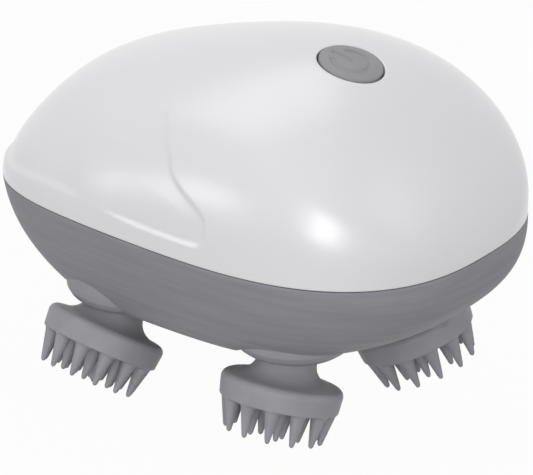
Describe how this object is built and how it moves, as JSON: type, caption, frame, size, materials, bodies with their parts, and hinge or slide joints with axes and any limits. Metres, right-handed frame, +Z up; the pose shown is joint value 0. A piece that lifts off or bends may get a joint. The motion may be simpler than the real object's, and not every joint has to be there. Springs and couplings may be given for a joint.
{
  "type": "electric scalp massager",
  "caption": "Egg-shaped hand massager standing on leaning round heads with soft tines, with a power button on top and a geared motor inside.",
  "frame": {"origin": "on the table under the middle of the body, at the height of the lowest tine tips", "axes": "+X along the body to the wide end with the power button, +Y to its left side, +Z up"},
  "size_m": [0.1202, 0.0882, 0.0879],
  "materials": {
    "shell_white": "glossy white moulding",
    "shell_grey": "soft grey, fine satin grain",
    "turret_grey": "satin grey moulding",
    "button_grey": "satin, with a cut power mark",
    "head_silicone": "smooth silicone rubber",
    "seal_rubber": "matt",
    "black_plastic": "moulded",
    "ivory_plastic": "moulded",
    "board_green": "solder mask",
    "zinc_steel": "zinc plated",
    "cell_wrap": "shrink film over the cell",
    "motor_steel": "drawn can",
    "ferrite": "matt",
    "rotor_steel": "laminations and windings",
    "brass": "cut teeth",
    "gear_plastic": "acetal",
    "ground_steel": "ground",
    "frame_plastic": "moulded",
    "bronze": "sintered",
    "hub_plastic": "moulded",
    "wire_cover": "insulation"
  },
  "bodies": {
    "housing": {"upper_shell": "shell_white", "lower_shell": "shell_grey", "seam_seal": "seal_rubber", "turret_cover": "turret_grey", "button_seal": "seal_rubber", "switch_body": "black_plastic", "control_board": "board_green", "board_chips": "black_plastic", "board_screws": "zinc_steel", "battery_cell": "cell_wrap", "battery_cradle": "ivory_plastic", "motor_can": "motor_steel", "motor_endcap": "ivory_plastic", "motor_magnets": "ferrite", "motor_screws": "zinc_steel", "reduction_pin": "ground_steel", "central_pin": "ground_steel", "gear_deck": "frame_plastic", "gearbox_cover": "frame_plastic", "gearbox_screws": "zinc_steel", "shaft_bushes": "bronze", "shaft_seals": "seal_rubber", "housing_screws": "zinc_steel", "charging_socket": "black_plastic", "wire_harness": "wire_cover"},
    "button": {"power_button": "button_grey", "switch_plunger": "ivory_plastic"},
    "rotor": {"motor_rotor": "rotor_steel", "motor_pinion": "brass"},
    "reduction": {"reduction_gear": "gear_plastic"},
    "centre": {"central_gear": "gear_plastic"},
    "spindle_rear_right": {"drive_gear_rear_right": "gear_plastic", "drive_shaft_rear_right": "ground_steel", "tilt_hub_rear_right": "hub_plastic", "massage_head_rear_right": "head_silicone"},
    "spindle_front_right": {"drive_gear_front_right": "gear_plastic", "drive_shaft_front_right": "ground_steel", "tilt_hub_front_right": "hub_plastic", "massage_head_front_right": "head_silicone"},
    "spindle_rear_left": {"drive_gear_rear_left": "gear_plastic", "drive_shaft_rear_left": "ground_steel", "tilt_hub_rear_left": "hub_plastic", "massage_head_rear_left": "head_silicone"},
    "spindle_front_left": {"drive_gear_front_left": "gear_plastic", "drive_shaft_front_left": "ground_steel", "tilt_hub_front_left": "hub_plastic", "massage_head_front_left": "head_silicone"}
  },
  "joints": [
    {"name": "button_press", "type": "slide", "parent": "housing", "child": "button", "axis": [-0.2348, 0, -0.972], "range_m": [0, 0.0008], "stiffness_N_per_m": 2500},
    {"name": "motor_spin", "type": "hinge", "parent": "housing", "child": "rotor", "pos_m": [0.00895, 0, 0.05682], "axis": [0, 0, 1], "continuous": true},
    {"name": "reduction_spin", "type": "hinge", "parent": "housing", "child": "reduction", "pos_m": [0.02095, 0, 0.04482], "axis": [0, 0, 1], "continuous": true},
    {"name": "centre_spin", "type": "hinge", "parent": "housing", "child": "centre", "pos_m": [-0.001, 0, 0.04222], "axis": [0, 0, 1], "continuous": true},
    {"name": "rear_right_spin", "type": "hinge", "parent": "housing", "child": "spindle_rear_right", "pos_m": [-0.0239, -0.0195, 0.02732], "axis": [0, 0, 1], "continuous": true},
    {"name": "front_right_spin", "type": "hinge", "parent": "housing", "child": "spindle_front_right", "pos_m": [0.0219, -0.0195, 0.02732], "axis": [0, 0, 1], "continuous": true},
    {"name": "rear_left_spin", "type": "hinge", "parent": "housing", "child": "spindle_rear_left", "pos_m": [-0.0239, 0.0195, 0.02732], "axis": [0, 0, 1], "continuous": true},
    {"name": "front_left_spin", "type": "hinge", "parent": "housing", "child": "spindle_front_left", "pos_m": [0.0219, 0.0195, 0.02732], "axis": [0, 0, 1], "continuous": true}
  ],
  "couplings": [
    {"joint": "reduction_spin", "follows": "motor_spin", "ratio": -0.2},
    {"joint": "centre_spin", "follows": "motor_spin", "ratio": 0.045455},
    {"joint": "rear_right_spin", "follows": "motor_spin", "ratio": -0.066667},
    {"joint": "front_right_spin", "follows": "motor_spin", "ratio": -0.066667},
    {"joint": "rear_left_spin", "follows": "motor_spin", "ratio": -0.066667},
    {"joint": "front_left_spin", "follows": "motor_spin", "ratio": -0.066667}
  ]
}
